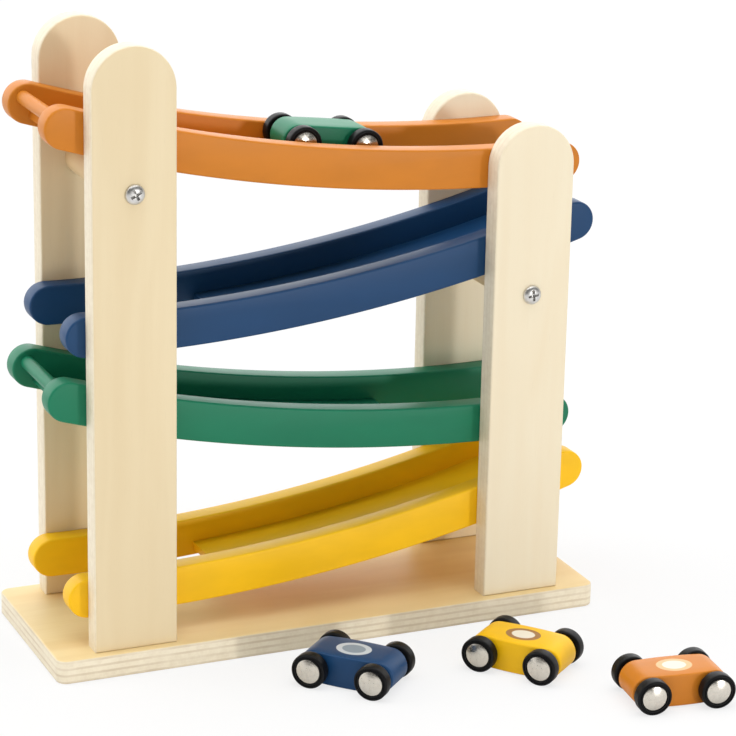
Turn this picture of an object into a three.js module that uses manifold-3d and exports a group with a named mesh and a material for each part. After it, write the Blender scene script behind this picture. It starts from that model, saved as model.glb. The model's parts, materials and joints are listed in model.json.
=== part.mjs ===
import * as THREE from 'three';
import { mergeVertices } from 'three/addons/utils/BufferGeometryUtils.js';
import Module from 'manifold-3d';

// Wooden car track: four curved ramps between four posts, and four small cars.
// Millimetres, +Z up, origin in the middle of the base underside, front toward -Y.

// Sheet wood, its edges and the gap around a piece in its seat
const SHEET = 12;
const EDGE = 1;
const FIT = 0.3;

// Base board
const BASE_LENGTH = 291.4;
const BASE_DEPTH = 102;
const BASE_CORNER = 5.5;

// Posts: places from the edges of the base board, heights above it
const POST_WIDTH = 42;
const POST_FROM_END = 41.2;
const POST_FROM_FRONT = 4.5;
const LEFT_POST_HEIGHT = 298;
const RIGHT_POST_HEIGHT = 246;

// Crossbars between the posts, below the rail that passes there
const CROSSBAR_RADIUS = 8.3;
const LEFT_CROSSBAR_DROP = 22;
const RIGHT_CROSSBAR_DROP = 24.1;

// Screws through the posts into the crossbars, and up through the base into the posts
const SCREW_RADIUS = 2;
const CROSSBAR_SCREW_LENGTH = 30;
const PAN_HEAD_RADIUS = 4.9;
const PAN_HEAD_HEIGHT = 2.6;
const BASE_SCREW_LENGTH = 28;
const FLAT_HEAD_RADIUS = 4;
const FLAT_HEAD_HEIGHT = 2.4;
const FLAT_HEAD_SINK = 0.4;
const RECESS_SPAN = 4.8;
const RECESS_WIDTH = 1.1;
const RECESS_DEPTH = 1.4;

// Ramps: curve of the rails along the middle of their height, lengths from the middle of the posts
const RAIL_HEIGHT = 20;
const RAIL_THICKNESS = 11;
const RAIL_RADIUS = 828;
const LOWEST_PAST_POST = 1;
const HIGH_END_PAST_POST = 39.7;
const LOW_END_PAST_POST = 30.5;
const FIRST_RAMP_RISE = 23.75;
const RAMP_PITCH = 66.43;
const PEG_RADIUS = 3;
const PEG_LENGTH = 6;

// Ramp floor, let into the rails, and the bar across the high end
const FLOOR_BELOW_TOP = 12.4;
const FLOOR_THICKNESS = 4;
const FLOOR_TONGUE = 3;
const FLOOR_SETBACK = 2;
const DROP_OPENING = 85;
const STOP_RADIUS = 3.4;
const STOP_OUT = 2.4;
const STOP_RISE = 3.4;
const STOP_SEAT = 4;

// Cars
const WHEELBASE = 33;
const CAR_WIDTH = 36.5;
const WHEEL_RADIUS = 8.8;
const WHEEL_WIDTH = 6.3;
const WHEEL_SHOULDER = 0.8;
const WHEEL_WEB = 3.6;
const TYRE_WALL = 2.6;
const HUB_DEPTH = 1.8;
const HUB_DOME = 1.1;
const AXLE_RADIUS = 1.5;
const AXLE_PLAY = 0.4;
const GROUND_CLEARANCE = 0.6;
const BODY_SIDE_GAP = 1.25;
const BODY_BULGE = 1;

// Places of the cars: on the ground, and up the top ramp from its lowest point
const BLUE_CAR_X = -10.4;
const BLUE_CAR_Y = -96.4;
const YELLOW_CAR_X = 75;
const YELLOW_CAR_Y = -109.3;
const ORANGE_CAR_X = 126.4;
const ORANGE_CAR_Y = -168.9;
const GROUND_CARS = [
  { colour: 'blue', x: BLUE_CAR_X, y: BLUE_CAR_Y, heading: -47 },
  { colour: 'yellow', x: YELLOW_CAR_X, y: YELLOW_CAR_Y, heading: -51 },
  { colour: 'orange', x: ORANGE_CAR_X, y: ORANGE_CAR_Y, heading: -7 },
];
const RAMP_CAR_COLOUR = 'green';
const RAMP_CAR_ANGLE = 6.6;
const RAMP_CAR_SIDE_PLAY = 0.8;

// Facets
const CURVE_STEPS = 16;
const END_STEPS = 8;
const POST_TOP_STEPS = 16;
const CORNER_STEPS = 5;
const WHEEL_STEPS = 16;
const ROD_STEPS = 16;
const HOLE_STEPS = 12;

// Ramps from the bottom up; side is the direction in which the ramp runs down
const RAMPS = [
  { colour: 'yellow', side: -1 },
  { colour: 'green', side: 1 },
  { colour: 'blue', side: -1 },
  { colour: 'orange', side: 1 },
];
const DEPTHS = [
  { name: 'front', sign: -1 },
  { name: 'back', sign: 1 },
];
const SIDES = [
  { name: 'left', sign: -1, height: LEFT_POST_HEIGHT, crossbarDrop: LEFT_CROSSBAR_DROP, above: 'orange' },
  { name: 'right', sign: 1, height: RIGHT_POST_HEIGHT, crossbarDrop: RIGHT_CROSSBAR_DROP, above: 'blue' },
];

// Sizes that follow from the ones above
const POST_X = BASE_LENGTH / 2 - POST_FROM_END;
const POST_OUTER_Y = BASE_DEPTH / 2 - POST_FROM_FRONT;
const POST_INNER_Y = POST_OUTER_Y - SHEET;
const CHANNEL_HALF = POST_INNER_Y - RAIL_THICKNESS;
const RAIL_LOWEST_X = POST_X + LOWEST_PAST_POST;
const RAIL_HIGH_END = POST_X + HIGH_END_PAST_POST;
const RAIL_LOW_END = POST_X + LOW_END_PAST_POST;
const RAIL_TOP_RADIUS = RAIL_RADIUS - RAIL_HEIGHT / 2;
const RAIL_BOTTOM_RADIUS = RAIL_RADIUS + RAIL_HEIGHT / 2;
const FLOOR_TOP_RADIUS = RAIL_TOP_RADIUS + FLOOR_BELOW_TOP;
const FLOOR_BOTTOM_RADIUS = FLOOR_TOP_RADIUS + FLOOR_THICKNESS;
const HIGH_ANGLE = curveAngle(RAIL_HEIGHT / 2 - RAIL_HIGH_END);
const LOW_ANGLE = curveAngle(RAIL_LOW_END - RAIL_HEIGHT / 2);
const FLOOR_HIGH_ANGLE = curveAngle(RAIL_HEIGHT / 2 - RAIL_HIGH_END + FLOOR_SETBACK);
const FLOOR_LOW_ANGLE = curveAngle(RAIL_LOW_END - DROP_OPENING);
const BODY_RADIUS = WHEEL_RADIUS - GROUND_CLEARANCE;
const HUB_RADIUS = WHEEL_RADIUS - TYRE_WALL;
const WHEEL_INNER_Y = CAR_WIDTH / 2 - WHEEL_WIDTH;
const BODY_HALF = WHEEL_INNER_Y - BODY_SIDE_GAP + BODY_BULGE;

const wasm = await Module();
wasm.setup();

// Materials
function paint(colour, roughness, metalness = 0) {
  return new THREE.MeshStandardMaterial({ color: colour, roughness, metalness });
}
const PLY = paint(0xe9d3a8, 0.6);
const DOWEL = paint(0xdcb987, 0.6);
const STEEL = paint(0xb9b9b4, 0.35, 1);
const HUB_METAL = paint(0xc9c7bf, 0.25, 1);
const TYRE_BLACK = paint(0x16161a, 0.45);
const PAINTS = {
  orange: paint(0xd08040, 0.45),
  blue: paint(0x34507a, 0.45),
  green: paint(0x357f60, 0.45),
  yellow: paint(0xf2bb20, 0.45),
};

const track = new THREE.Group();
track.name = 'car_track';

// Angle on the rail curve at a distance along the ramp, positive toward the low end
function curveAngle(along) {
  return Math.asin((along - RAIL_LOWEST_X) / RAIL_RADIUS);
}

// Height of the centre of a ramp's curve
function curveCentreZ(ramp) {
  return SHEET + FIRST_RAMP_RISE + RAMPS.indexOf(ramp) * RAMP_PITCH + RAIL_RADIUS;
}

// Point [x, z] on a ramp's curve
function onCurve(ramp, angle, radius) {
  const x = ramp.side * (RAIL_LOWEST_X + radius * Math.sin(angle));
  return [x, curveCentreZ(ramp) - radius * Math.cos(angle)];
}

// Height of the middle of a ramp's rails where they pass a post
function railHeightAt(ramp, x) {
  return onCurve(ramp, curveAngle(ramp.side * x), RAIL_RADIUS)[1];
}

function rampOf(colour) {
  return RAMPS.find((ramp) => ramp.colour === colour);
}

// Keep only welded positions, drop collapsed triangles and turn the faces outward
function tidy(geometry) {
  const bare = new THREE.BufferGeometry();
  bare.setAttribute('position', geometry.attributes.position);
  bare.setIndex(geometry.index);
  const welded = mergeVertices(bare, 1e-4);
  const corner = (i) => new THREE.Vector3().fromBufferAttribute(welded.attributes.position, i);
  const order = welded.index.array;
  const kept = [];
  let volume = 0;
  for (let i = 0; i < order.length; i += 3) {
    const [a, b, c] = order.slice(i, i + 3);
    if (a === b || b === c || c === a) continue;
    kept.push(a, b, c);
    volume += corner(a).dot(corner(b).cross(corner(c)));
  }
  if (volume < 0) kept.reverse();
  welded.setIndex(kept);
  return welded;
}

// Closed surface to a solid that can be cut and joined
function solid(geometry) {
  const welded = tidy(geometry);
  return new wasm.Manifold(new wasm.Mesh({
    numProp: 3,
    vertProperties: new Float32Array(welded.attributes.position.array),
    triVerts: new Uint32Array(welded.index.array),
  }));
}

// Solid back to a surface
function surface(body) {
  const mesh = body.getMesh();
  const geometry = new THREE.BufferGeometry();
  geometry.setAttribute('position', new THREE.BufferAttribute(new Float32Array(mesh.vertProperties), 3));
  geometry.setIndex(Array.from(mesh.triVerts));
  return geometry;
}

function add(parent, name, geometry, material) {
  const flat = geometry.toNonIndexed();
  flat.computeVertexNormals();
  const mesh = new THREE.Mesh(flat, material);
  mesh.name = name;
  parent.add(mesh);
}

// Outline in the ground plane pulled up from z = 0, with chamfered edges
function slab(outline, thickness, edge = 0) {
  const shape = new THREE.Shape(outline.map(([x, y]) => new THREE.Vector2(x, y)));
  const pulled = new THREE.ExtrudeGeometry(shape, {
    depth: thickness - 2 * edge,
    bevelEnabled: edge > 0,
    bevelThickness: edge,
    bevelSize: edge,
    bevelOffset: -edge,
    bevelSegments: 1,
  });
  return pulled.translate(0, 0, edge);
}

// Outline in the [x, z] plane pulled along Y, from the given y on
function wall(outline, thickness, y, edge = 0) {
  return slab(outline, thickness, edge).rotateX(Math.PI / 2).translate(0, y + thickness, 0);
}

// Round rod along Y between two places
function rod(radius, x, z, y0, y1, steps = HOLE_STEPS) {
  const cylinder = new THREE.CylinderGeometry(radius, radius, Math.abs(y1 - y0), steps);
  return cylinder.translate(x, (y0 + y1) / 2, z);
}

// Turned piece about the Y axis from a list of [radius, y], closed on itself or on the axis
function turned(profile, steps) {
  return new THREE.LatheGeometry(profile.map(([radius, y]) => new THREE.Vector2(radius, y)), steps);
}

// Points of an arc, from one angle to another
function arc(x, y, radius, from, to, steps) {
  const points = [];
  for (let i = 0; i <= steps; i += 1) {
    const angle = from + (to - from) * i / steps;
    points.push([x + radius * Math.cos(angle), y + radius * Math.sin(angle)]);
  }
  return points;
}

// Points along a ramp's curve
function curve(ramp, radius, from, to) {
  const points = [];
  for (let i = 0; i <= CURVE_STEPS; i += 1) {
    points.push(onCurve(ramp, from + (to - from) * i / CURVE_STEPS, radius));
  }
  return points;
}

// Half circle around an end of the rail, without its two end points
function railEnd(ramp, angle, start) {
  const [x, z] = onCurve(ramp, angle, RAIL_RADIUS);
  const points = [];
  for (let i = 1; i < END_STEPS; i += 1) {
    const turn = angle + start + Math.PI * i / END_STEPS;
    points.push([x - ramp.side * RAIL_HEIGHT / 2 * Math.sin(turn), z + RAIL_HEIGHT / 2 * Math.cos(turn)]);
  }
  return points;
}

function railOutline(ramp) {
  return [
    ...curve(ramp, RAIL_BOTTOM_RADIUS, HIGH_ANGLE, LOW_ANGLE),
    ...railEnd(ramp, LOW_ANGLE, Math.PI),
    ...curve(ramp, RAIL_TOP_RADIUS, LOW_ANGLE, HIGH_ANGLE),
    ...railEnd(ramp, HIGH_ANGLE, 0),
  ];
}

// Strip between two radii of a ramp's curve, lengthened by the gap at both ends
function bandOutline(ramp, gap) {
  const gapAngle = gap / RAIL_RADIUS;
  const high = FLOOR_HIGH_ANGLE - gapAngle;
  const low = FLOOR_LOW_ANGLE + gapAngle;
  return [
    ...curve(ramp, FLOOR_BOTTOM_RADIUS + gap, high, low),
    ...curve(ramp, FLOOR_TOP_RADIUS - gap, low, high),
  ];
}

// Place [x, z] of the bar across a ramp's high end
function stopPlace(ramp) {
  const [x, z] = onCurve(ramp, HIGH_ANGLE, RAIL_RADIUS);
  return [x - ramp.side * STOP_OUT, z + STOP_RISE];
}

// Height of a crossbar, below the rail that passes its posts
function crossbarHeight(side) {
  return railHeightAt(rampOf(side.above), side.sign * POST_X) - side.crossbarDrop;
}

// Cross recess that is cut into a screw head, sunk from y = 0 toward -y
function crossRecess() {
  const depth = 2 * RECESS_DEPTH;
  const one = solid(new THREE.BoxGeometry(RECESS_SPAN, depth, RECESS_WIDTH));
  return one.add(solid(new THREE.BoxGeometry(RECESS_WIDTH, depth, RECESS_SPAN)));
}

// Screw with a domed head above y = 0 and the shank below
function panHeadScrew() {
  const blank = solid(turned([
    [0, -CROSSBAR_SCREW_LENGTH],
    [SCREW_RADIUS, -CROSSBAR_SCREW_LENGTH + 2 * SCREW_RADIUS],
    [SCREW_RADIUS, 0],
    [PAN_HEAD_RADIUS, 0],
    [PAN_HEAD_RADIUS, PAN_HEAD_HEIGHT * 0.4],
    [PAN_HEAD_RADIUS * 0.7, PAN_HEAD_HEIGHT * 0.85],
    [0, PAN_HEAD_HEIGHT],
  ], HOLE_STEPS));
  return surface(blank.subtract(crossRecess().translate([0, PAN_HEAD_HEIGHT, 0])));
}

// Countersunk screw with the head's flat at y = 0 and the shank below
function flatHeadScrew() {
  const blank = solid(turned([
    [0, -BASE_SCREW_LENGTH],
    [SCREW_RADIUS, -BASE_SCREW_LENGTH + 2 * SCREW_RADIUS],
    [SCREW_RADIUS, -FLAT_HEAD_HEIGHT],
    [FLAT_HEAD_RADIUS, 0],
    [0, 0],
  ], HOLE_STEPS));
  return surface(blank.subtract(crossRecess()));
}

// Countersunk hole for the base screws, along the Y axis like the screw
function flatHeadHole() {
  const radius = SCREW_RADIUS + FIT;
  const flare = FLAT_HEAD_RADIUS + FIT;
  return turned([
    [0, -SHEET - FIT],
    [radius, -SHEET - FIT],
    [radius, -FLAT_HEAD_HEIGHT],
    [flare, 0],
    [flare, 2 * FLAT_HEAD_SINK],
    [0, 2 * FLAT_HEAD_SINK],
  ], HOLE_STEPS);
}

// Middle of a post's end grain, where the base screw enters
function postMiddle(side, depth) {
  return [side.sign * POST_X, depth.sign * (POST_INNER_Y + SHEET / 2)];
}

function addBase() {
  const x = BASE_LENGTH / 2 - BASE_CORNER;
  const y = BASE_DEPTH / 2 - BASE_CORNER;
  const quarter = Math.PI / 2;
  const outline = [
    ...arc(x, y, BASE_CORNER, 0, quarter, CORNER_STEPS),
    ...arc(-x, y, BASE_CORNER, quarter, 2 * quarter, CORNER_STEPS),
    ...arc(-x, -y, BASE_CORNER, 2 * quarter, 3 * quarter, CORNER_STEPS),
    ...arc(x, -y, BASE_CORNER, 3 * quarter, 4 * quarter, CORNER_STEPS),
  ];
  let board = solid(slab(outline, SHEET, EDGE));
  for (const side of SIDES) {
    for (const depth of DEPTHS) {
      const [px, py] = postMiddle(side, depth);
      const hole = flatHeadHole().rotateX(-Math.PI / 2).translate(px, py, FLAT_HEAD_SINK);
      board = board.subtract(solid(hole));
      const screw = flatHeadScrew().rotateX(-Math.PI / 2).translate(px, py, FLAT_HEAD_SINK);
      add(track, `${depth.name}_${side.name}_base_screw`, screw, STEEL);
    }
  }
  add(track, 'base_board', surface(board), PLY);
}

function addPost(side, depth) {
  const x = side.sign * POST_X;
  const half = POST_WIDTH / 2;
  const top = SHEET + side.height - half;
  const outline = [
    [x - half, SHEET - EDGE],
    [x + half, SHEET - EDGE],
    ...arc(x, top, half, 0, Math.PI, POST_TOP_STEPS),
  ];
  const inner = depth.sign * POST_INNER_Y;
  const outer = depth.sign * POST_OUTER_Y;
  let post = solid(wall(outline, SHEET, Math.min(inner, outer), EDGE));
  // Square foot on the base board
  const foot = new THREE.BoxGeometry(2 * POST_WIDTH, 2 * SHEET, SHEET);
  post = post.subtract(solid(foot.translate(x, (inner + outer) / 2, SHEET / 2)));
  // Blind holes for the rail pegs
  for (const ramp of RAMPS) {
    const bottom = inner + depth.sign * (PEG_LENGTH + FIT);
    const hole = rod(PEG_RADIUS + FIT, x, railHeightAt(ramp, x), inner - depth.sign, bottom);
    post = post.subtract(solid(hole));
  }
  // Holes for the crossbar screw and the base screw
  const across = rod(SCREW_RADIUS + FIT, x, crossbarHeight(side), inner - depth.sign, outer + depth.sign);
  post = post.subtract(solid(across));
  const [px, py] = postMiddle(side, depth);
  const reach = FLAT_HEAD_SINK + BASE_SCREW_LENGTH + FIT;
  const pilot = rod(SCREW_RADIUS + FIT, 0, 0, SHEET - 1, reach).rotateX(Math.PI / 2).translate(px, py, 0);
  post = post.subtract(solid(pilot));
  add(track, `${depth.name}_${side.name}_post`, surface(post), PLY);

  const turn = depth.sign > 0 ? 0 : Math.PI;
  const screw = panHeadScrew().rotateZ(turn).translate(x, outer, crossbarHeight(side));
  add(track, `${depth.name}_${side.name}_crossbar_screw`, screw, STEEL);
}

function addCrossbar(side) {
  const x = side.sign * POST_X;
  const z = crossbarHeight(side);
  let bar = solid(rod(CROSSBAR_RADIUS, x, z, -POST_INNER_Y, POST_INNER_Y, ROD_STEPS));
  for (const depth of DEPTHS) {
    const end = depth.sign * POST_INNER_Y;
    const bottom = end - depth.sign * (CROSSBAR_SCREW_LENGTH - SHEET + FIT);
    bar = bar.subtract(solid(rod(SCREW_RADIUS + FIT, x, z, end + depth.sign, bottom)));
  }
  add(track, `${side.name}_crossbar`, surface(bar), DOWEL);
}

function addRail(ramp, depth) {
  const inner = depth.sign * CHANNEL_HALF;
  const outer = depth.sign * POST_INNER_Y;
  let rail = solid(wall(railOutline(ramp), RAIL_THICKNESS, Math.min(inner, outer), EDGE));
  // Groove for the floor
  const groove = FLOOR_TONGUE + FIT;
  const grooveStart = depth.sign > 0 ? inner - 1 : inner - groove;
  rail = rail.subtract(solid(wall(bandOutline(ramp, FIT), groove + 1, grooveStart)));
  // Seat of the stop bar
  const [stopX, stopZ] = stopPlace(ramp);
  const seat = inner + depth.sign * (STOP_SEAT + FIT);
  rail = rail.subtract(solid(rod(STOP_RADIUS + FIT, stopX, stopZ, inner - depth.sign, seat)));
  // Pegs into the posts
  for (const side of SIDES) {
    const x = side.sign * POST_X;
    const tip = outer + depth.sign * PEG_LENGTH;
    rail = rail.add(solid(rod(PEG_RADIUS, x, railHeightAt(ramp, x), outer - depth.sign, tip)));
  }
  add(track, `${ramp.colour}_ramp_${depth.name}_rail`, surface(rail), PAINTS[ramp.colour]);
}

function addRamp(ramp) {
  for (const depth of DEPTHS) addRail(ramp, depth);
  const half = CHANNEL_HALF + FLOOR_TONGUE;
  const floor = tidy(wall(bandOutline(ramp, 0), 2 * half, -half));
  add(track, `${ramp.colour}_ramp_floor`, floor, PAINTS[ramp.colour]);
  const reach = CHANNEL_HALF + STOP_SEAT;
  const bar = tidy(rod(STOP_RADIUS, ...stopPlace(ramp), -reach, reach, ROD_STEPS));
  add(track, `${ramp.colour}_ramp_stop_bar`, bar, PAINTS[ramp.colour]);
}

// Half width of a car body at a distance from its middle
function bodyHalfAt(x) {
  return BODY_HALF - BODY_BULGE * (x / (WHEELBASE / 2)) ** 2;
}

function carBody() {
  const half = WHEELBASE / 2;
  const side = [
    ...arc(half, WHEEL_RADIUS, BODY_RADIUS, -Math.PI / 2, Math.PI / 2, 2 * END_STEPS),
    ...arc(-half, WHEEL_RADIUS, BODY_RADIUS, Math.PI / 2, 1.5 * Math.PI, 2 * END_STEPS),
  ];
  const reach = half + WHEEL_RADIUS;
  const left = [];
  for (let i = 0; i <= END_STEPS; i += 1) {
    const x = reach - 2 * reach * i / END_STEPS;
    left.push([x, bodyHalfAt(x)]);
  }
  const right = left.map(([x, y]) => [-x, -y]);
  const plan = slab([...left, ...right], 2 * WHEEL_RADIUS);
  let body = solid(wall(side, 2 * WHEEL_INNER_Y, -WHEEL_INNER_Y)).intersect(solid(plan));
  for (const x of [half, -half]) {
    const bore = rod(AXLE_RADIUS + AXLE_PLAY, x, WHEEL_RADIUS, -CAR_WIDTH, CAR_WIDTH);
    body = body.subtract(solid(bore));
  }
  return surface(body);
}

// Pin with a domed hub cap at both ends
function carAxle() {
  const face = CAR_WIDTH / 2 - HUB_DOME / 2;
  const back = face - HUB_DEPTH;
  const half = [
    [AXLE_RADIUS, back],
    [HUB_RADIUS, back],
    [HUB_RADIUS, face],
    [HUB_RADIUS * 0.6, face + HUB_DOME * 0.7],
    [0, face + HUB_DOME],
  ];
  const other = half.map(([radius, y]) => [radius, -y]).reverse();
  return tidy(turned([...other, ...half], WHEEL_STEPS));
}

// Wheel for the left side: web around the pin and tyre around the hub cap
function carWheel(sign) {
  const outerY = CAR_WIDTH / 2;
  const shoulder = WHEEL_RADIUS - WHEEL_SHOULDER;
  const bore = AXLE_RADIUS + FIT;
  const rim = HUB_RADIUS + FIT;
  const webY = WHEEL_INNER_Y + WHEEL_WEB;
  const profile = [
    [bore, WHEEL_INNER_Y],
    [shoulder, WHEEL_INNER_Y],
    [WHEEL_RADIUS, WHEEL_INNER_Y + WHEEL_SHOULDER],
    [WHEEL_RADIUS, outerY - WHEEL_SHOULDER],
    [shoulder, outerY],
    [rim, outerY],
    [rim, webY],
    [bore, webY],
    [bore, WHEEL_INNER_Y],
  ];
  return tidy(turned(profile.map(([radius, y]) => [radius, sign * y]), WHEEL_STEPS));
}

function addCar(colour) {
  const car = new THREE.Group();
  car.name = `${colour}_car`;
  add(car, `${colour}_car_body`, carBody(), PAINTS[colour]);
  for (const end of [{ name: 'front', sign: 1 }, { name: 'rear', sign: -1 }]) {
    const x = end.sign * WHEELBASE / 2;
    const axle = carAxle().translate(x, 0, WHEEL_RADIUS);
    add(car, `${colour}_car_${end.name}_axle`, axle, HUB_METAL);
    for (const hand of [{ name: 'left', sign: 1 }, { name: 'right', sign: -1 }]) {
      const wheel = carWheel(hand.sign).translate(x, 0, WHEEL_RADIUS);
      add(car, `${colour}_car_${end.name}_${hand.name}_wheel`, wheel, TYRE_BLACK);
    }
  }
  track.add(car);
  return car;
}

function addGroundCar({ colour, x, y, heading }) {
  const car = addCar(colour);
  car.position.set(x, y, 0);
  car.rotation.z = THREE.MathUtils.degToRad(heading);
}

// Car on the top ramp, both axles at one distance from the floor
function addRampCar() {
  const ramp = RAMPS.at(-1);
  const car = addCar(RAMP_CAR_COLOUR);
  const angle = -THREE.MathUtils.degToRad(RAMP_CAR_ANGLE);
  const axleRadius = FLOOR_TOP_RADIUS - FIT - WHEEL_RADIUS;
  const middle = Math.sqrt(axleRadius ** 2 - (WHEELBASE / 2) ** 2);
  const [x, z] = onCurve(ramp, angle, middle + WHEEL_RADIUS);
  car.position.set(x, CHANNEL_HALF - CAR_WIDTH / 2 - RAMP_CAR_SIDE_PLAY, z);
  car.rotation.y = -angle;
}

addBase();
for (const side of SIDES) {
  for (const depth of DEPTHS) addPost(side, depth);
  addCrossbar(side);
}
for (const ramp of RAMPS) addRamp(ramp);
for (const place of GROUND_CARS) addGroundCar(place);
addRampCar();

export default track;
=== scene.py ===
"""Looks of the wooden car track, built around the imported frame."""

import json
import math

import bmesh
import bpy
from mathutils import Matrix, Vector


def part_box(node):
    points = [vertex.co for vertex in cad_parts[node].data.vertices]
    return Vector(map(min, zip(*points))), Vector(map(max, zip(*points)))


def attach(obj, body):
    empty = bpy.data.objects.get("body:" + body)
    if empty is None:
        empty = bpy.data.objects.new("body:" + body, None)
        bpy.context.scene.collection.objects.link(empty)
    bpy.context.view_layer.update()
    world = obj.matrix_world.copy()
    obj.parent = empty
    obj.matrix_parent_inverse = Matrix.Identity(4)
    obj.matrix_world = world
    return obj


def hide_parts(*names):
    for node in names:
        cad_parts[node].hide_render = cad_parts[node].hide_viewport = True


# Lengths are written in millimetres and turned into metres when a mesh is made
MM = 0.001

# Track, as in the part's source
RAIL_HEIGHT = 20
RAIL_RADIUS = 828
RAIL_LOWEST_X = 105.5
RAIL_HIGH_END = 144.2
RAIL_LOW_END = 135
RAIL_INNER_Y = 23.5
RAIL_OUTER_Y = 34.5
FIRST_RAMP_Z = 35.75
RAMP_PITCH = 66.43
FLOOR_BELOW_TOP = 12.4
FLOOR_THICKNESS = 4
FLOOR_SETBACK = 2
FLOOR_TONGUE = 0.2
DROP_OPENING = 85
BASE_CORNER = 5.5
SHEET_THICKNESS = 12
SHEET_EDGE = 1.1
FLOOR_EDGE = 0.4
BAR_EDGE = 0.5

# Car
WHEELBASE = 33
CAR_WIDTH = 36.5
AXLE_RADIUS = 1.5
BODY_RADIUS = 8.2
BODY_HALF = 11.7
BODY_BULGE = 1.0
BODY_EDGE = 1.0
BODY_CROWN = 0.25

# Wheel, with a groove in its outer side and a seat for the hub cap
WHEEL_RADIUS = 8.8
WHEEL_WIDTH = 6.3
WHEEL_SHOULDER = 1.1
WHEEL_BACK_RADII = (6.6, 7.4)
WHEEL_BACK_STEP = 0.15
WHEEL_DISH = 0.05
WHEEL_WEB = 3.6
WHEEL_PLAY = 0.3
GROOVE_RADII = (7.65, 7.05)
GROOVE_SLOPE = 0.15
GROOVE_DEPTH = 0.5
SEAT_PLAY = 0.15
SEAT_LIP = 0.2
SEAT_LIP_DEPTH = 0.3

# Hub cap; its rim is rounded by steps inward and outward
HUB_RADIUS = 6.2
HUB_TOP = 18.8
HUB_DOME = 1.25
HUB_DOME_INSET = 0.7
HUB_FLANGE = 1.6
HUB_BACK_EDGE = (0.2, 0.3)
HUB_RIM = ((0.0, 0.0), (0.12, 0.25), (0.45, 0.38))

# Screws
SHANK_RADIUS = 2.0
PAN_RADIUS = 4.9
PAN_HEIGHT = 2.6
PAN_SHOULDER = 0.45
PAN_ROUNDING = 0.7
PAN_EDGE = 0.2
PAN_SHANK = 6.0
FLAT_RADIUS = 4.0
FLAT_EDGE = 0.1
FLAT_CONE = 2.4
FLAT_SHANK = 8.0
SCREW_TWIST = {"left": math.radians(28), "right": math.radians(8)}

# Cross recess; it narrows by shares of its depth and of its plan
RECESS_SPAN = 6.2
RECESS_WIDTH = 1.5
RECESS_DEPTH = 1.9
RECESS_TAPER = ((0.45, 0.86), (1.0, 0.3))
RECESS_ABOVE = 1.0

# Facets of the curved pieces
CURVE_STEPS = 72
END_STEPS = 24
ROUND_STEPS = 64
EDGE_STEPS = 4
CORNER_STEPS = 12
POST_TOP_STEPS = 40
BODY_END_STEPS = 12
BODY_TOP_STEPS = 16
SHOULDER_STEPS = 5
DOME_STEPS = 8
SMOOTH_ANGLE = math.radians(40)
TINY = 1e-6

# Camera, fitted to the photograph and placed in metres
IMAGE_SIZE = 736
FOCAL_PIXELS = 2842.5
CAMERA_PLACE = (-0.52184, -1.26562, 0.56273)
CAMERA_TURN = math.radians(23.8)
CAMERA_TILT = math.radians(17.5)
CAMERA_ROLL = math.radians(1.21)
SENSOR_WIDTH = 36.0
CAMERA_REACH = 50.0

# Light: a share of 1 shows a colour about as it is written
AMBIENT = 0.55
KEY_SHARE = 0.205
KEY_TURN = math.radians(19)
KEY_HEIGHT = math.radians(3)
KEY_SPREAD = math.radians(5)
TOP_SHARE = 0.6
TOP_HEIGHT = math.radians(91)
TOP_SPREAD = math.radians(70)
LEFT_SHARE = 0.2
LEFT_TURN = math.radians(-112)
LEFT_HEIGHT = math.radians(28)
LEFT_SPREAD = math.radians(40)
MIRROR_FRONT = 0.08
MIRROR_BACK = 2.2
MIRROR_BLEND = 0.35

# Floor of the stage, its size in metres
FLOOR_SIZE = 12.0
FLOOR_WHITE = 0.86
FLOOR_ROUGH = 0.9
FLOOR_GLOW = 0.74

# Ramps from the lowest up; the side is the one that a ramp runs down to
RAMPS = (
    {"colour": "yellow", "side": -1},
    {"colour": "green", "side": 1},
    {"colour": "blue", "side": -1},
    {"colour": "orange", "side": 1},
)
DEPTHS = {"front": -1, "back": 1}
SIDES = ("left", "right")

# Colours, linear
WHITE = (1.0, 1.0, 1.0)
PLY_LEFT = ((0.83, 0.69, 0.45), (0.79, 0.64, 0.40))
PLY_RIGHT = ((0.89, 0.79, 0.59), (0.86, 0.74, 0.53))
PLY_EDGE_LIGHT = (0.90, 0.81, 0.63)
PLY_EDGE_DARK = (0.68, 0.56, 0.39)
BASE_LIGHT = (0.88, 0.70, 0.38)
BASE_DARK = (0.80, 0.60, 0.29)
DOWEL_LIGHT = (0.74, 0.55, 0.31)
DOWEL_DARK = (0.60, 0.40, 0.19)
PAINT = {
    "orange": (0.62, 0.205, 0.014),
    "blue": (0.008, 0.052, 0.145),
    "green": (0.007, 0.185, 0.092),
    "yellow": (0.96, 0.545, 0.004),
}
ROUNDEL = {
    "blue": ((0.26, 0.32, 0.38), (0.60, 0.64, 0.67)),
    "yellow": ((0.85, 0.78, 0.64), (0.36, 0.17, 0.05)),
    "orange": ((0.86, 0.80, 0.68), (0.80, 0.52, 0.26)),
}
TYRE_BLACK = (0.005, 0.005, 0.0055)
HUB_SILVER = (0.66, 0.62, 0.55)
SCREW_ZINC = (0.66, 0.65, 0.63)

# Sheen and roughness of the surfaces
PLY_SHEEN = 0.26
DOWEL_SHEEN = 0.4
PAINT_SHEEN = 0.27
TYRE_SHEEN = 0.15
PLY_ROUGH = (0.36, 0.5)
DOWEL_ROUGH = 0.5
PAINT_ROUGH = (0.38, 0.46)
TYRE_ROUGH = (0.34, 0.5)
HUB_ROUGH = (0.16, 0.3)
ZINC_ROUGH = (0.32, 0.46)

# Glued layers on a plywood edge: waves across it, how far they waver, and how strongly they show
LAYER_WAVES = 3.5
LAYER_WAVER = 0.8
BASE_LINES = 0.85
POST_LINES = 0.25

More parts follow.
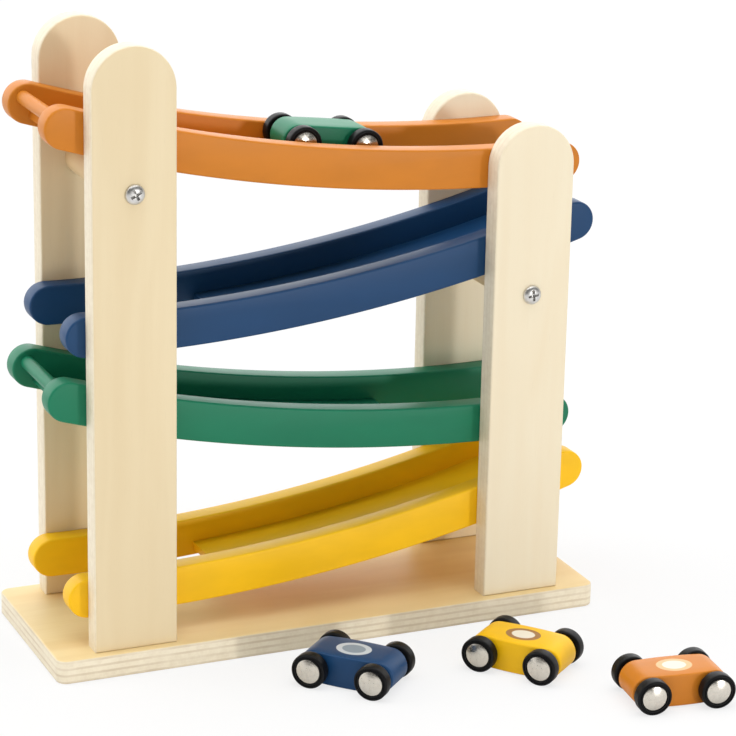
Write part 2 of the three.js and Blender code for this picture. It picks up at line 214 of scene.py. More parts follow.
# Printed roundel on a car, in millimetres; it shows from a height above the axle on
RING_RADIUS = 9.2
DISC_RADIUS = 6.2
PRINT_BLUR = 0.5
PRINT_STRETCH = 1.25
PRINT_LOW = 5.0
PRINT_FULL = 6.0

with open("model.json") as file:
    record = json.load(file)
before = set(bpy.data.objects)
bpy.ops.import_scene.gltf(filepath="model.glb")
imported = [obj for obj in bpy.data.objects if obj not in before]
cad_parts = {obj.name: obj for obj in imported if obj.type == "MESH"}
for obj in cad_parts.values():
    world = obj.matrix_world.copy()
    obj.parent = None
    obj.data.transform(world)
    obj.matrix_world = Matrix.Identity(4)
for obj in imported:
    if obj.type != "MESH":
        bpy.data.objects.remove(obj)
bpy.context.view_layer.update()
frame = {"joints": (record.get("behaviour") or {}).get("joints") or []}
JOINTS = {joint["name"]: joint for joint in frame["joints"]}


# Nodes of a material

def add_node(tree, kind, inputs=None, **settings):
    """A shader node; inputs take a number, a colour or another node's output."""
    node = tree.nodes.new(kind)
    for key, value in settings.items():
        setattr(node, key, value)
    for key, value in (inputs or {}).items():
        if isinstance(value, bpy.types.NodeSocket):
            tree.links.new(value, node.inputs[key])
        else:
            node.inputs[key].default_value = value
    return node


def rgba(colour):
    return (*colour, 1.0)


def scaled(colour, factor):
    return tuple(min(1.0, factor * part) for part in colour)


def new_material(name, **shader):
    """A material with a Principled shader, and its node tree."""
    material = bpy.data.materials.new(name)
    material.use_nodes = True
    tree = material.node_tree
    bsdf = tree.nodes["Principled BSDF"]
    for key, value in shader.items():
        bsdf.inputs[key.replace("_", " ")].default_value = value
    return material, tree, bsdf


def object_place(tree):
    return add_node(tree, "ShaderNodeTexCoord").outputs["Object"]


def object_normal(tree):
    return add_node(tree, "ShaderNodeTexCoord").outputs["Normal"]


def stretched(tree, vector, sizes):
    """The place in units of a feature's size along each axis, in millimetres."""
    metres = [size * MM for size in sizes]
    node = add_node(tree, "ShaderNodeVectorMath", {0: vector, 1: metres}, operation="DIVIDE")
    return node.outputs[0]


def noise(tree, vector, detail=3.0, roughness=0.5, distortion=0.0):
    node = add_node(tree, "ShaderNodeTexNoise", {
        "Vector": vector,
        "Scale": 1.0,
        "Detail": detail,
        "Roughness": roughness,
        "Distortion": distortion,
    })
    return node.outputs["Fac"]


def ranged(tree, value, low, high, to_low=0.0, to_high=1.0):
    """A value taken smoothly from one range to another."""
    node = add_node(tree, "ShaderNodeMapRange", {
        "Value": value,
        "From Min": low,
        "From Max": high,
        "To Min": to_low,
        "To Max": to_high,
    }, interpolation_type="SMOOTHSTEP")
    return node.outputs["Result"]


def math_node(tree, operation, first, second=0.0):
    return add_node(tree, "ShaderNodeMath", {0: first, 1: second}, operation=operation).outputs[0]


def mixed(tree, factor, first, second):
    """Two colours mixed by a factor; a colour may be a tuple or an output."""
    first = first if isinstance(first, bpy.types.NodeSocket) else rgba(first)
    second = second if isinstance(second, bpy.types.NodeSocket) else rgba(second)
    node = add_node(tree, "ShaderNodeMix", {0: factor, 6: first, 7: second}, data_type="RGBA")
    return node.outputs[2]


def bumped(tree, height, strength, depth):
    node = add_node(tree, "ShaderNodeBump", {
        "Height": height,
        "Strength": strength,
        "Distance": depth * MM,
    })
    return node.outputs["Normal"]


def along(axis, length, across):
    """Feature sizes that are long on one axis and narrow on the others."""
    return [length if name == axis else across for name in "xyz"]


def axis_part(tree, vector, axis):
    return add_node(tree, "ShaderNodeSeparateXYZ", {0: vector}).outputs["xyz".index(axis)]


# Materials

def grain_colour(tree, place, axis, light, dark):
    """Pale wood with streaks along an axis, and the fibre height for a bump."""
    broad = noise(tree, stretched(tree, place, along(axis, 150, 24)), 2.0, 0.5, 0.8)
    streak = noise(tree, stretched(tree, place, along(axis, 75, 2.2)), 4.0, 0.6, 0.3)
    fibre = noise(tree, stretched(tree, place, along(axis, 9, 0.28)), 2.0, 0.5)
    figure = add_node(tree, "ShaderNodeTexWave", {
        "Vector": stretched(tree, place, along(axis, 160, 17)),
        "Scale": 0.5,
        "Distortion": 5.0,
        "Detail": 2.0,
        "Detail Scale": 1.2,
    }, wave_type="RINGS", rings_direction="SPHERICAL").outputs["Fac"]
    colour = mixed(tree, ranged(tree, broad, 0.3, 0.75), light, dark)
    colour = mixed(tree, ranged(tree, streak, 0.45, 0.8, 0.0, 0.3), colour, dark)
    colour = mixed(tree, ranged(tree, figure, 0.55, 1.0, 0.0, 0.16), colour, dark)
    pores = ranged(tree, fibre, 0.62, 0.8, 0.0, 0.22)
    return mixed(tree, pores, colour, scaled(dark, 0.72)), fibre


def plywood(name, grain_axis, layer_axis, layer_start, light, dark, lines):
    """Varnished plywood: grain on the faces, glued layers on the edges."""
    material, tree, bsdf = new_material(name, Specular_IOR_Level=PLY_SHEEN)
    place = object_place(tree)
    face, fibre = grain_colour(tree, place, grain_axis, light, dark)

    # Layers across the thickness, wavering a little along the edge
    depth = axis_part(tree, place, layer_axis)
    waver = noise(tree, stretched(tree, place, along(layer_axis, 400, 40)), 2.0, 0.5)
    shift = math_node(tree, "MULTIPLY", math_node(tree, "SUBTRACT", waver, 0.5), LAYER_WAVER * MM)
    level = math_node(tree, "SUBTRACT", math_node(tree, "ADD", depth, shift), layer_start * MM)
    share = math_node(tree, "DIVIDE", level, SHEET_THICKNESS * MM)
    wave = math_node(tree, "SINE", math_node(tree, "MULTIPLY", share, LAYER_WAVES * math.tau))
    glue = ranged(tree, wave, 0.0, 1.0)
    open_grain = noise(tree, stretched(tree, place, (3.5, 3.5, 3.5)), 4.0, 0.65)
    patch = noise(tree, stretched(tree, place, along(layer_axis, 7, 26)), 3.0, 0.5)
    edge = mixed(tree, ranged(tree, open_grain, 0.3, 0.75, 0.0, 0.35), PLY_EDGE_LIGHT, PLY_EDGE_DARK)
    strength = math_node(tree, "MULTIPLY", glue, ranged(tree, patch, 0.3, 0.65, 0.3 * lines, lines))
    edge = mixed(tree, strength, edge, PLY_EDGE_DARK)

    facing = math_node(tree, "ABSOLUTE", axis_part(tree, object_normal(tree), layer_axis))
    on_edge = ranged(tree, facing, 0.9, 0.6)
    colour = mixed(tree, on_edge, face, edge)
    tree.links.new(colour, bsdf.inputs["Base Color"])
    tree.links.new(ranged(tree, fibre, 0.2, 0.8, *PLY_ROUGH), bsdf.inputs["Roughness"])
    tree.links.new(bumped(tree, fibre, 0.25, 0.06), bsdf.inputs["Normal"])
    return material


def bare_dowel(name, axis):
    material, tree, bsdf = new_material(name, Roughness=DOWEL_ROUGH, Specular_IOR_Level=DOWEL_SHEEN)
    colour, fibre = grain_colour(tree, object_place(tree), axis, DOWEL_LIGHT, DOWEL_DARK)
    tree.links.new(colour, bsdf.inputs["Base Color"])
    tree.links.new(bumped(tree, fibre, 0.3, 0.08), bsdf.inputs["Normal"])
    return material


def painted(tree, bsdf, place, colour):
    """Satin paint with faint unevenness and a little of the wood under it."""
    cloud = noise(tree, stretched(tree, place, (38, 16, 16)), 3.0, 0.55)
    speck = noise(tree, stretched(tree, place, (1.1, 1.1, 1.1)), 2.0, 0.6)
    grain = noise(tree, stretched(tree, place, (26, 1.4, 1.4)), 3.0, 0.6)
    deep = scaled(colour, 0.94)
    shade = mixed(tree, ranged(tree, cloud, 0.25, 0.75), deep, scaled(colour, 1.04))
    shade = mixed(tree, ranged(tree, speck, 0.55, 0.85, 0.0, 0.16), shade, deep)
    shade = mixed(tree, ranged(tree, grain, 0.6, 0.85, 0.0, 0.2), shade, deep)
    tree.links.new(ranged(tree, cloud, 0.2, 0.8, *PAINT_ROUGH), bsdf.inputs["Roughness"])
    height = math_node(tree, "ADD", math_node(tree, "MULTIPLY", grain, 0.7), speck)
    tree.links.new(bumped(tree, height, 0.12, 0.08), bsdf.inputs["Normal"])
    return shade


def ramp_paint(colour):
    material, tree, bsdf = new_material(f"{colour}_ramp_paint", Specular_IOR_Level=PAINT_SHEEN)
    shade = painted(tree, bsdf, object_place(tree), PAINT[colour])
    tree.links.new(shade, bsdf.inputs["Base Color"])
    return material


def printed(tree, place, shade, disc, ring):
    """The paint's shade with a plain roundel on top of the body, a little worn."""
    flat = add_node(tree, "ShaderNodeVectorMath", {
        0: place,
        1: (1.0, PRINT_STRETCH, 0.0),
    }, operation="MULTIPLY")
    length = add_node(tree, "ShaderNodeVectorMath", {0: flat.outputs[0]}, operation="LENGTH")
    reach = math_node(tree, "DIVIDE", length.outputs["Value"], MM)
    above = ranged(tree, axis_part(tree, place, "z"), PRINT_LOW * MM, PRINT_FULL * MM)
    worn = noise(tree, stretched(tree, place, (0.9, 0.9, 0.9)), 2.0, 0.6)
    cover = math_node(tree, "MULTIPLY", above, ranged(tree, worn, 0.15, 0.35, 0.75, 1.0))
    for radius, colour in ((RING_RADIUS, ring), (DISC_RADIUS, disc)):
        inside = ranged(tree, reach, radius, radius - PRINT_BLUR)
        shade = mixed(tree, math_node(tree, "MULTIPLY", inside, cover), shade, colour)
    return shade


def car_paint(colour):
    """Car body paint, with a plain printed roundel on top where the car has a print."""
    material, tree, bsdf = new_material(f"{colour}_car_paint", Specular_IOR_Level=PAINT_SHEEN)
    place = object_place(tree)
    shade = painted(tree, bsdf, place, PAINT[colour])
    if colour in ROUNDEL:
        shade = printed(tree, place, shade, *ROUNDEL[colour])
    tree.links.new(shade, bsdf.inputs["Base Color"])
    return material


def tyre_material():
    material, tree, bsdf = new_material("black_tyre", Specular_IOR_Level=TYRE_SHEEN)
    place = object_place(tree)
    dust = noise(tree, stretched(tree, place, (2.5, 2.5, 2.5)), 4.0, 0.6)
    fine = noise(tree, stretched(tree, place, (0.35, 0.35, 0.35)), 2.0, 0.5)
    shade = mixed(tree, ranged(tree, dust, 0.45, 0.8), TYRE_BLACK, scaled(TYRE_BLACK, 1.8))
    tree.links.new(shade, bsdf.inputs["Base Color"])
    tree.links.new(ranged(tree, dust, 0.25, 0.75, *TYRE_ROUGH), bsdf.inputs["Roughness"])
    tree.links.new(bumped(tree, fine, 0.2, 0.05), bsdf.inputs["Normal"])
    return material


def metal(name, colour, rough):
    material, tree, bsdf = new_material(name, Metallic=1.0)
    place = object_place(tree)
    smear = noise(tree, stretched(tree, place, (1.8, 1.8, 1.8)), 4.0, 0.65)
    scratch = noise(tree, stretched(tree, place, (0.25, 3.0, 0.25)), 2.0, 0.5)
    shade = mixed(tree, ranged(tree, smear, 0.35, 0.75), colour, scaled(colour, 0.9))
    tree.links.new(shade, bsdf.inputs["Base Color"])
    tree.links.new(ranged(tree, smear, 0.25, 0.75, *rough), bsdf.inputs["Roughness"])
    tree.links.new(bumped(tree, scratch, 0.1, 0.02), bsdf.inputs["Normal"])
    return material


# Meshes

def new_piece(name, mesh_builder, material, place=None):
    """An object from a bmesh in millimetres, smooth but for its sharp edges."""
    bmesh.ops.recalc_face_normals(mesh_builder, faces=mesh_builder.faces)
    bmesh.ops.scale(mesh_builder, vec=(MM, MM, MM), verts=mesh_builder.verts)
    mesh = bpy.data.meshes.new(name)
    mesh_builder.to_mesh(mesh)
    mesh_builder.free()
    mesh.shade_smooth()
    mesh.set_sharp_from_angle(angle=SMOOTH_ANGLE)
    mesh.materials.append(material)
    piece = bpy.data.objects.new(name, mesh)
    bpy.context.scene.collection.objects.link(piece)
    if place is not None:
        piece.matrix_world = place
    return piece


def fasten(piece, body, node):
    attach(piece, body)
    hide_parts(node)


def show(node, mesh_builder, material, body, place=None):
    """A piece in place of a CAD node, riding on a body."""
    fasten(new_piece(f"{node}_shown", mesh_builder, material, place), body, node)


def plate(outline, thickness, edge):
    """Flat outline with a thickness along z and rounded edges."""
    builder = bmesh.new()
    first = builder.faces.new([builder.verts.new((x, y, 0.0)) for x, y in outline])
    pulled = bmesh.ops.extrude_face_region(builder, geom=[first])
    moved = [item for item in pulled["geom"] if isinstance(item, bmesh.types.BMVert)]
    bmesh.ops.translate(builder, vec=(0.0, 0.0, thickness), verts=moved)
    rims = [e for e in builder.edges if abs(e.verts[0].co.z - e.verts[1].co.z) < TINY]
    bmesh.ops.recalc_face_normals(builder, faces=builder.faces)
    bmesh.ops.bevel(
        builder, geom=rims, offset=edge, offset_type="OFFSET", segments=EDGE_STEPS,
        profile=0.5, affect="EDGES", clamp_overlap=False)
    return builder


def stand(builder, y):
    """Turns a plate drawn in x and z upright, from the given y on."""
    for vert in builder.verts:
        vert.co = (vert.co.x, y + vert.co.z, vert.co.y)
    return builder


def turned(profile, steps):
    """Piece turned about the y axis from (radius, y) pairs; off the axis they close to a ring."""
    builder = bmesh.new()
    rings = []
    for radius, y in profile:
        if radius < TINY:
            rings.append([builder.verts.new((0.0, y, 0.0))])
            continue
        ring = []
        for i in range(steps):
            angle = math.tau * i / steps
            ring.append(builder.verts.new((radius * math.sin(angle), y, radius * math.cos(angle))))
        rings.append(ring)
    closed = profile[0][0] > TINY
    following = rings[1:] + rings[:1] if closed else rings[1:]
    for low, high in zip(rings, following):
        for i in range(steps):
            j = (i + 1) % steps
            corners = (low[i % len(low)], low[j % len(low)], high[j % len(high)], high[i % len(high)])
            builder.faces.new(list(dict.fromkeys(corners)))
    return builder


def arc(x, y, radius, start, end, steps):
    """Points of an arc between two angles."""
    points = []
    for i in range(steps + 1):
        angle = start + (end - start) * i / steps
        points.append((x + radius * math.cos(angle), y + radius * math.sin(angle)))
    return points


# Ramps

def curve_angle(distance):
    return math.asin((distance - RAIL_LOWEST_X) / RAIL_RADIUS)


def on_curve(ramp, angle, radius):
    """Place (x, z) on a ramp's curve, with angles positive toward its low end."""
    centre = FIRST_RAMP_Z + RAMPS.index(ramp) * RAMP_PITCH + RAIL_RADIUS
    x = ramp["side"] * (RAIL_LOWEST_X + radius * math.sin(angle))
    return x, centre - radius * math.cos(angle)


def curve_points(ramp, radius, start, end):
    steps = range(CURVE_STEPS + 1)
    return [on_curve(ramp, start + (end - start) * i / CURVE_STEPS, radius) for i in steps]


def rail_end(ramp, angle, start):
    """Half circle around an end of the rail, without its two end points."""
    x, z = on_curve(ramp, angle, RAIL_RADIUS)
    reach = RAIL_HEIGHT / 2
    points = []
    for i in range(1, END_STEPS):
        turn = angle + start + math.pi * i / END_STEPS
        points.append((x - ramp["side"] * reach * math.sin(turn), z + reach * math.cos(turn)))
    return points


def rail_outline(ramp):
    high = curve_angle(RAIL_HEIGHT / 2 - RAIL_HIGH_END)
    low = curve_angle(RAIL_LOW_END - RAIL_HEIGHT / 2)
    return (
        curve_points(ramp, RAIL_RADIUS + RAIL_HEIGHT / 2, high, low)
        + rail_end(ramp, low, math.pi)
        + curve_points(ramp, RAIL_RADIUS - RAIL_HEIGHT / 2, low, high)
        + rail_end(ramp, high, 0.0))


def floor_outline(ramp):
    high = curve_angle(RAIL_HEIGHT / 2 - RAIL_HIGH_END + FLOOR_SETBACK)
    low = curve_angle(RAIL_LOW_END - DROP_OPENING)
    top = RAIL_RADIUS - RAIL_HEIGHT / 2 + FLOOR_BELOW_TOP
    return curve_points(ramp, top + FLOOR_THICKNESS, high, low) + curve_points(ramp, top, low, high)


def build_ramp(ramp):
    colour = ramp["colour"]
    paint = ramp_paint(colour)
    sheet = RAIL_OUTER_Y - RAIL_INNER_Y
    for name, sign in DEPTHS.items():
        start = RAIL_INNER_Y if sign > 0 else -RAIL_OUTER_Y
        node = f"{colour}_ramp_{name}_rail"
        rail = stand(plate(rail_outline(ramp), sheet, SHEET_EDGE), start)
        show(node, rail, paint, "track")
    node = f"{colour}_ramp_floor"
    reach = RAIL_INNER_Y + FLOOR_TONGUE
    panel = stand(plate(floor_outline(ramp), 2 * reach, FLOOR_EDGE), -reach)
    show(node, panel, paint, "track")
    node = f"{colour}_ramp_stop_bar"
    show(node, round_bar(node), paint, "track")


def round_bar(node):
    """Round bar along y in place of a CAD rod, its ends a little eased."""
    low, high = (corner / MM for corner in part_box(node))
    radius = (high.z - low.z) / 2
    builder = turned([
        (0.0, low.y),
        (radius - BAR_EDGE, low.y),
        (radius, low.y + BAR_EDGE),
        (radius, high.y - BAR_EDGE),
        (radius - BAR_EDGE, high.y),
        (0.0, high.y),
    ], ROUND_STEPS)
    middle = (low + high) / 2
    bmesh.ops.translate(builder, vec=(middle.x, 0.0, middle.z), verts=builder.verts)
    return builder


# Base and posts

def build_base():
    low, high = (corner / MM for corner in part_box("base_board"))
    x, y = high.x - BASE_CORNER, high.y - BASE_CORNER
    quarter = math.pi / 2
    outline = []
    for i, (cx, cy) in enumerate(((x, y), (-x, y), (-x, -y), (x, -y))):
        outline += arc(cx, cy, BASE_CORNER, i * quarter, (i + 1) * quarter, CORNER_STEPS)
    ply = plywood("base_ply", "x", "z", 0.0, BASE_LIGHT, BASE_DARK, BASE_LINES)
    board = plate(outline, high.z - low.z, SHEET_EDGE)
    show("base_board", board, ply, "track")


def build_post(side, depth):
    node = f"{depth}_{side}_post"
    low, high = (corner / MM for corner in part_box(node))
    half = (high.x - low.x) / 2
    middle = (high.x + low.x) / 2
    outline = [(low.x, low.z), (high.x, low.z)]
    outline += arc(middle, high.z - half, half, 0.0, math.pi, POST_TOP_STEPS)
    builder = stand(plate(outline, high.y - low.y, SHEET_EDGE), low.y)
    light, dark = PLY_LEFT if side == "left" else PLY_RIGHT
    ply = plywood(f"{node}_ply", "z", "y", low.y, light, dark, POST_LINES)
    show(node, builder, ply, "track")


def cross_cutter(top):
    """Tapered cross that is cut into a screw head, from the given height down."""
    builder = bmesh.new()
    half = RECESS_SPAN / 2
    width = RECESS_WIDTH / 2
    arm = [(half, width), (width, width), (width, half)]
    plan = []
    for _ in range(4):
        plan += arm
        arm = [(-z, x) for x, z in arm]
    levels = [(top + RECESS_ABOVE, 1.0)]
    levels += [(top - RECESS_DEPTH * depth, share) for depth, share in RECESS_TAPER]
    rings = [[builder.verts.new((x * share, y, z * share)) for x, z in plan] for y, share in levels]
    for upper, lower in zip(rings, rings[1:]):
        for i in range(len(plan)):
            j = (i + 1) % len(plan)
            builder.faces.new((upper[i], upper[j], lower[j], lower[i]))
    builder.faces.new(rings[0])
    builder.faces.new(rings[-1])
    return builder


def cut(piece, cutter):
    """Cuts one object out of another and removes the cutter."""
    modifier = piece.modifiers.new("cut", "BOOLEAN")
    modifier.object = cutter
    modifier.solver = "EXACT"
    shown = piece.evaluated_get(bpy.context.evaluated_depsgraph_get())
    mesh = bpy.data.meshes.new_from_object(shown)
    piece.modifiers.clear()
    old = piece.data
    piece.data = mesh
    bpy.data.meshes.remove(old)
    bpy.data.objects.remove(cutter)
    mesh.shade_smooth()
    mesh.set_sharp_from_angle(angle=SMOOTH_ANGLE)


def screw_head(name, profile, top, place, zinc):
    piece = new_piece(name, turned(profile, ROUND_STEPS), zinc, place)
    cutter = new_piece(f"{name}_recess", cross_cutter(top), zinc, place)
    bpy.context.view_layer.update()
    cut(piece, cutter)
    return piece


def pan_profile():
    """Domed head with a short shank, from the shank's end to the crown."""
    shank = [(0.0, -PAN_SHANK), (SHANK_RADIUS, -PAN_SHANK), (SHANK_RADIUS, 0.0)]
    dome = []
    for i in range(DOME_STEPS):
        angle = math.pi / 2 * i / DOME_STEPS
        radius = PAN_RADIUS * math.cos(angle) ** PAN_ROUNDING
        dome.append((radius, PAN_SHOULDER + (PAN_HEIGHT - PAN_SHOULDER) * math.sin(angle)))
    return shank + [(PAN_RADIUS - PAN_EDGE, 0.0), (PAN_RADIUS, PAN_EDGE)] + dome + [(0.0, PAN_HEIGHT)]


def flat_profile():
    """Countersunk head with a short shank; the flat is at zero."""
    shank = [(0.0, -FLAT_SHANK), (SHANK_RADIUS, -FLAT_SHANK), (SHANK_RADIUS, -FLAT_CONE)]
    rim = FLAT_RADIUS - FLAT_EDGE
    return shank + [(rim, -2 * FLAT_EDGE), (FLAT_RADIUS, -FLAT_EDGE), (rim, 0.0), (0.0, 0.0)]


def build_screws(side, depth, zinc):
    sign = DEPTHS[depth]
    twist = Matrix.Rotation(SCREW_TWIST[side], 4, "Y")

    # Pan head on the outside of the post
    node = f"{depth}_{side}_crossbar_screw"
    low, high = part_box(node)
    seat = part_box(f"{depth}_{side}_post")[1 if sign > 0 else 0].y
    outward = Matrix.Rotation(0.0 if sign > 0 else math.pi, 4, "Z")
    middle = (low + high) / 2
    place = Matrix.Translation((middle.x, seat, middle.z)) @ outward @ twist
    head = screw_head(f"{node}_shown", pan_profile(), PAN_HEIGHT, place, zinc)
    fasten(head, "track", node)

    # Countersunk head under the base
    node = f"{depth}_{side}_base_screw"
    low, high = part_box(node)
    middle = (low + high) / 2
    down = Matrix.Rotation(-math.pi / 2, 4, "X")
    place = Matrix.Translation((middle.x, middle.y, low.z)) @ down @ twist
    head = screw_head(f"{node}_shown", flat_profile(), 0.0, place, zinc)
    fasten(head, "track", node)


# Cars

def car_place(colour):
    """Frame of a car from its axles: x forward, y to its left, origin between the axles."""
    front = JOINTS[f"{colour}_front_axle_turn"]
    rear = JOINTS[f"{colour}_rear_axle_turn"]
    ahead = (Vector(front["pos_m"]) - Vector(rear["pos_m"])).normalized()
    left = Vector(front["axis"]).normalized()
    up = ahead.cross(left)
    middle = (Vector(front["pos_m"]) + Vector(rear["pos_m"])) / 2
    turn = Matrix((ahead, left, up)).transposed().to_4x4()
    return Matrix.Translation(middle) @ turn


def body_half(x):
    return BODY_HALF - BODY_BULGE * (x / (WHEELBASE / 2)) ** 2


def body_loop():
    """Upper half of the side outline from nose to tail: (x, height above the axle, outward direction)."""
    quarter = math.pi / 2
    reach = WHEELBASE / 2
    points = []
    for i in range(BODY_END_STEPS + 1):
        angle = quarter * i / BODY_END_STEPS
        points.append((reach + BODY_RADIUS * math.cos(angle), BODY_RADIUS * math.sin(angle), angle))
    for i in range(1, BODY_TOP_STEPS):
        points.append((reach - WHEELBASE * i / BODY_TOP_STEPS, BODY_RADIUS, quarter))
    for i in range(BODY_END_STEPS + 1):
        angle = quarter + quarter * i / BODY_END_STEPS
        points.append((-reach + BODY_RADIUS * math.cos(angle), BODY_RADIUS * math.sin(angle), angle))
    return points


def car_body():
    """Rounded bar with half-round ends and gently bulging sides."""
    upper = body_loop()
    lower = [(x, -z, -angle) for x, z, angle in reversed(upper[1:-1])]
    loop = upper + lower
    across = []
    for i in range(EDGE_STEPS + 1):
        turn = math.pi / 2 * i / EDGE_STEPS
        across.append((1 - math.sin(turn), 1 - math.cos(turn)))
    builder = bmesh.new()
    rows = []
    for x, z, angle in loop:
        half = body_half(x)
        sides = [(-half + BODY_EDGE * out, BODY_EDGE * sunk) for sunk, out in across]
        sides += [(share * half, 0.0) for share in (-0.5, 0.0, 0.5)]
        sides += [(half - BODY_EDGE * out, BODY_EDGE * sunk) for sunk, out in reversed(across)]
        row = []
        for y, sunk in sides:
            crown = BODY_CROWN * (1 - (y / half) ** 2) if z > 0 else 0.0
            px = x - sunk * math.cos(angle)
            pz = z + (crown - sunk) * math.sin(angle)
            row.append(builder.verts.new((px, y, pz)))
        rows.append(row)
    count = len(rows)
    for i in range(count):
        first, second = rows[i], rows[(i + 1) % count]
        for j in range(len(first) - 1):
            builder.faces.new((first[j], second[j], second[j + 1], first[j + 1]))

    # Sides: strips between the upper and lower edge
    last = len(upper) - 1
    for column in (0, -1):
        for i in range(last):
            top, next_top = rows[i][column], rows[i + 1][column]
            low = rows[(count - i) % count][column]
            next_low = rows[(count - i - 1) % count][column]
            corners = list(dict.fromkeys((top, next_top, next_low, low)))
            if len(corners) > 2:
                builder.faces.new(corners)
    return builder


def tyre_profile():
    """Black wheel: rounded shoulders, a fine groove in the side, and a seat for the hub."""
    inner = CAR_WIDTH / 2 - WHEEL_WIDTH
    outer = CAR_WIDTH / 2
    back = inner + WHEEL_BACK_STEP
    bore = AXLE_RADIUS + WHEEL_PLAY
    seat = HUB_RADIUS + SEAT_PLAY
    lip = outer - 2 * WHEEL_DISH
    points = [(bore, inner), (WHEEL_BACK_RADII[0], inner), (WHEEL_BACK_RADII[1], back)]
    turns = [math.pi / 2 * i / SHOULDER_STEPS for i in range(SHOULDER_STEPS + 1)]
    for turn in turns:
        radius = WHEEL_RADIUS - WHEEL_SHOULDER * (1 - math.sin(turn))
        points.append((radius, back + WHEEL_SHOULDER * (1 - math.cos(turn))))
    for turn in turns:
        radius = WHEEL_RADIUS - WHEEL_SHOULDER * (1 - math.cos(turn))
        points.append((radius, outer - WHEEL_SHOULDER * (1 - math.sin(turn))))
    return points + [
        (GROOVE_RADII[0], outer),
        (GROOVE_RADII[0] - GROOVE_SLOPE, outer - GROOVE_DEPTH),
        (GROOVE_RADII[1] + GROOVE_SLOPE, outer - GROOVE_DEPTH),
        (GROOVE_RADII[1], outer - WHEEL_DISH),
        (seat + SEAT_LIP, lip),
        (seat, lip - SEAT_LIP_DEPTH),
        (seat, inner + WHEEL_WEB),
        (bore, inner + WHEEL_WEB),
    ]


def hub_profile():
    """Domed cap on an end of the axle, from the axle out to the crown of the dome."""
    rim = HUB_TOP - HUB_DOME
    flange = rim - HUB_FLANGE
    inset, ease = HUB_BACK_EDGE
    points = [(AXLE_RADIUS, flange), (HUB_RADIUS - inset, flange), (HUB_RADIUS, flange + ease)]
    points += [(HUB_RADIUS - inward, rim + outward) for inward, outward in HUB_RIM]
    foot = points[-1][1]
    for i in range(1, DOME_STEPS + 1):
        share = 1 - i / DOME_STEPS
        points.append(((HUB_RADIUS - HUB_DOME_INSET) * share, foot + (HUB_TOP - foot) * (1 - share ** 2)))
    return points


def axle_mesh():
    """The axle with a cap at both ends."""
    cap = hub_profile()
    other = [(radius, -y) for radius, y in reversed(cap)]
    return turned(other + cap, ROUND_STEPS)


def build_car(colour, black, silver):
    place = car_place(colour)
    node = f"{colour}_car_body"
    show(node, car_body(), car_paint(colour), f"{colour}_car", place)
    for end, ahead in (("front", 1), ("rear", -1)):
        wheels = f"{colour}_{end}_wheels"
        axle_place = place @ Matrix.Translation((ahead * WHEELBASE / 2 * MM, 0.0, 0.0))
        node = f"{colour}_car_{end}_axle"
        show(node, axle_mesh(), silver, wheels, axle_place)
        for hand, sign in (("left", 1), ("right", -1)):
            node = f"{colour}_car_{end}_{hand}_wheel"
            profile = [(radius, sign * y) for radius, y in tyre_profile()]
            show(node, turned(profile, ROUND_STEPS), black, wheels, axle_place)


# Stage

def build_floor():
    """Pale floor that keeps the object's shadow."""
    builder = bmesh.new()
    bmesh.ops.create_grid(builder, x_segments=2, y_segments=2, size=FLOOR_SIZE / 2 / MM)
    material, tree, bsdf = new_material("pale_floor", Roughness=FLOOR_ROUGH, Specular_IOR_Level=0.0)
    bsdf.inputs["Base Color"].default_value = rgba((FLOOR_WHITE,) * 3)
    glow = add_node(tree, "ShaderNodeEmission", {"Color": rgba(WHITE), "Strength": 1.0})
    seen = add_node(tree, "ShaderNodeLightPath").outputs["Is Camera Ray"]
    share = math_node(tree, "MULTIPLY", seen, FLOOR_GLOW)
    mix = add_node(tree, "ShaderNodeMixShader", {0: share, 1: bsdf.outputs[0], 2: glow.outputs[0]})
    tree.links.new(mix.outputs[0], tree.nodes["Material Output"].inputs["Surface"])
    new_piece("floor", builder, material)


def build_world():
    """White backdrop; mirrors see it bright behind the object and dark in front."""
    world = bpy.data.worlds.new("studio")
    bpy.context.scene.world = world
    world.use_nodes = True
    tree = world.node_tree
    way = add_node(tree, "ShaderNodeTexCoord").outputs["Generated"]
    depth = axis_part(tree, way, "y")
    mirrored = ranged(tree, depth, -MIRROR_BLEND, MIRROR_BLEND, MIRROR_FRONT, MIRROR_BACK)
    path = add_node(tree, "ShaderNodeLightPath").outputs
    shiny = math_node(tree, "MAXIMUM", path["Is Glossy Ray"], path["Is Transmission Ray"])
    level = add_node(tree, "ShaderNodeMix", {0: shiny, 2: AMBIENT, 3: mirrored}).outputs[0]
    level = add_node(tree, "ShaderNodeMix", {0: path["Is Camera Ray"], 2: level, 3: 1.0}).outputs[0]
    light = tree.nodes["Background"]
    light.inputs["Color"].default_value = rgba(WHITE)
    tree.links.new(level, light.inputs["Strength"])


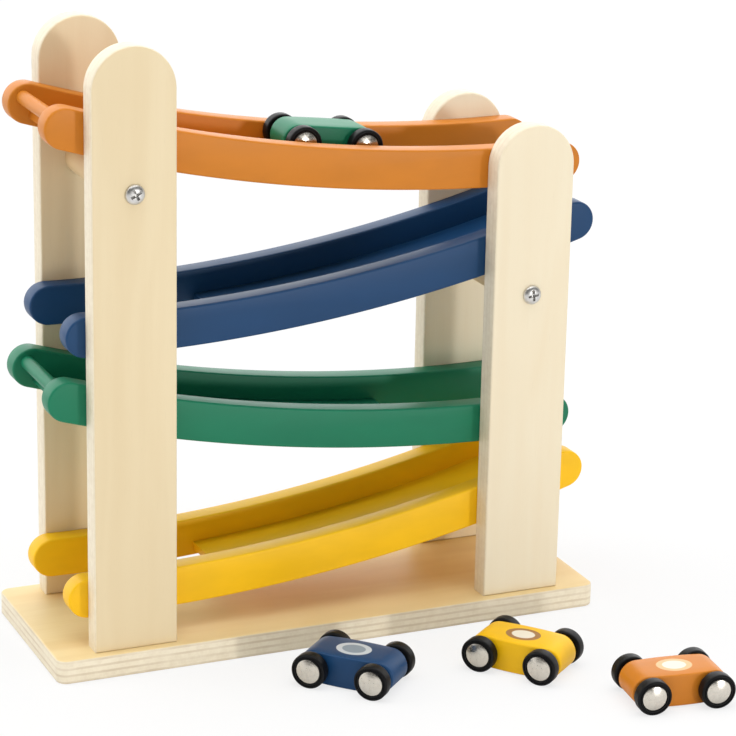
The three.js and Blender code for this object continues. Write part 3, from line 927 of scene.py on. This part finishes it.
def build_lamp(name, turn, height, spread, share):
    """Distant soft lamp; turn is to the right of the front."""
    way = Vector((
        math.sin(turn) * math.cos(height),
        -math.cos(turn) * math.cos(height),
        math.sin(height)))
    data = bpy.data.lights.new(name, "SUN")
    data.energy = share * math.pi
    data.angle = spread
    lamp = bpy.data.objects.new(name, data)
    lamp.matrix_world = way.to_track_quat("Z", "Y").to_matrix().to_4x4()
    bpy.context.scene.collection.objects.link(lamp)


def build_camera():
    ahead = Vector((
        math.sin(CAMERA_TURN) * math.cos(CAMERA_TILT),
        math.cos(CAMERA_TURN) * math.cos(CAMERA_TILT),
        -math.sin(CAMERA_TILT)))
    right = ahead.cross(Vector((0.0, 0.0, 1.0))).normalized()
    up = right.cross(ahead)
    c, s = math.cos(CAMERA_ROLL), math.sin(CAMERA_ROLL)
    turn = Matrix((c * right + s * up, c * up - s * right, -ahead)).transposed().to_4x4()
    data = bpy.data.cameras.new("camera")
    data.sensor_width = SENSOR_WIDTH
    data.lens = FOCAL_PIXELS / IMAGE_SIZE * SENSOR_WIDTH
    data.clip_end = CAMERA_REACH
    camera = bpy.data.objects.new("camera", data)
    camera.matrix_world = Matrix.Translation(CAMERA_PLACE) @ turn
    bpy.context.scene.collection.objects.link(camera)
    bpy.context.scene.camera = camera


build_base()
zinc = metal("screw_zinc", SCREW_ZINC, ZINC_ROUGH)
bar_wood = bare_dowel("crossbar_wood", "y")
for side in SIDES:
    for depth in DEPTHS:
        build_post(side, depth)
        build_screws(side, depth, zinc)
    node = f"{side}_crossbar"
    show(node, round_bar(node), bar_wood, "track")
for ramp in RAMPS:
    build_ramp(ramp)
black = tyre_material()
silver = metal("hub_silver", HUB_SILVER, HUB_ROUGH)
for ramp in RAMPS:
    build_car(ramp["colour"], black, silver)

build_floor()
build_world()
build_lamp("key_lamp", KEY_TURN, KEY_HEIGHT, KEY_SPREAD, KEY_SHARE)
build_lamp("top_lamp", 0.0, TOP_HEIGHT, TOP_SPREAD, TOP_SHARE)
build_lamp("left_lamp", LEFT_TURN, LEFT_HEIGHT, LEFT_SPREAD, LEFT_SHARE)
build_camera()
bpy.context.scene.view_settings.view_transform = "Standard"

bpy.context.view_layer.update()
